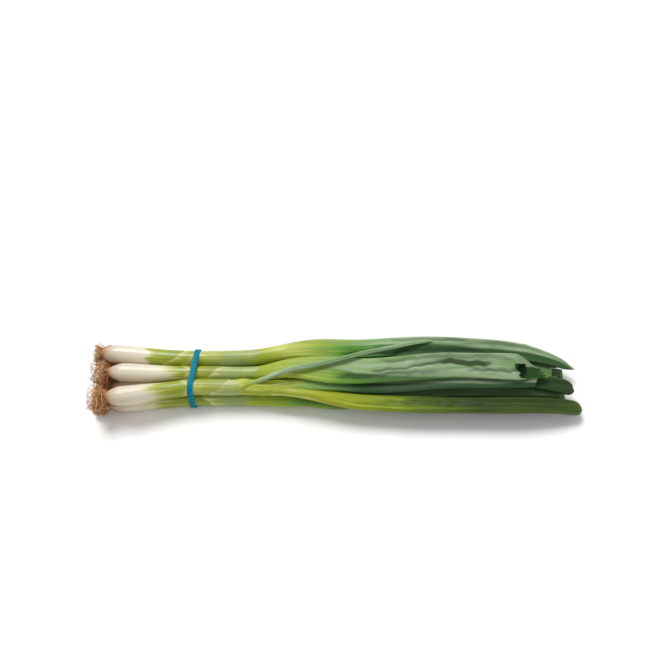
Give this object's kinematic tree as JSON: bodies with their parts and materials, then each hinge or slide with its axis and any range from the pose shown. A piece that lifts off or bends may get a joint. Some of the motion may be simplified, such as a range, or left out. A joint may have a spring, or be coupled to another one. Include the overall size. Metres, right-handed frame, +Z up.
{
  "type": "spring onion bunch",
  "caption": "Bunch of spring onions lying on a table: white bulbs with root tufts at one end, long green cut leaves at the other, tied near the bulbs by a rubber band.",
  "frame": {"origin": "under the middle of the bunch's bounding box, on the surface that it lies on", "axes": "+X along the bunch towards the leaf ends, with the roots at -X; +Y the far side in the picture; +Z up"},
  "size_m": [0.4004, 0.076, 0.0381],
  "materials": {
    "white_shank": "white bulb and shank, moist satin skin that turns pale green towards the leaves",
    "green_leaf": "green leaf with fine lengthwise veins and a waxy blue-grey bloom",
    "dry_root": "dry matt tan to brown root fibres",
    "band_rubber": "blue rubber, satin"
  },
  "bodies": {
    "root": {"band": "band_rubber", "shank_far_low": "white_shank", "leaves_far_low": "green_leaf", "roots_far_low": "dry_root", "shank_mid_far_low": "white_shank", "leaves_mid_far_low": "green_leaf", "roots_mid_far_low": "dry_root", "shank_mid_near_low": "white_shank", "leaves_mid_near_low": "green_leaf", "roots_mid_near_low": "dry_root", "shank_near_low": "white_shank", "leaves_near_low": "green_leaf", "roots_near_low": "dry_root", "shank_far_top": "white_shank", "leaves_far_top": "green_leaf", "roots_far_top": "dry_root", "shank_near_top": "white_shank", "leaves_near_top": "green_leaf", "roots_near_top": "dry_root", "shank_middle_top": "white_shank", "leaves_middle_top": "green_leaf", "roots_middle_top": "dry_root"}
  },
  "joints": []
}
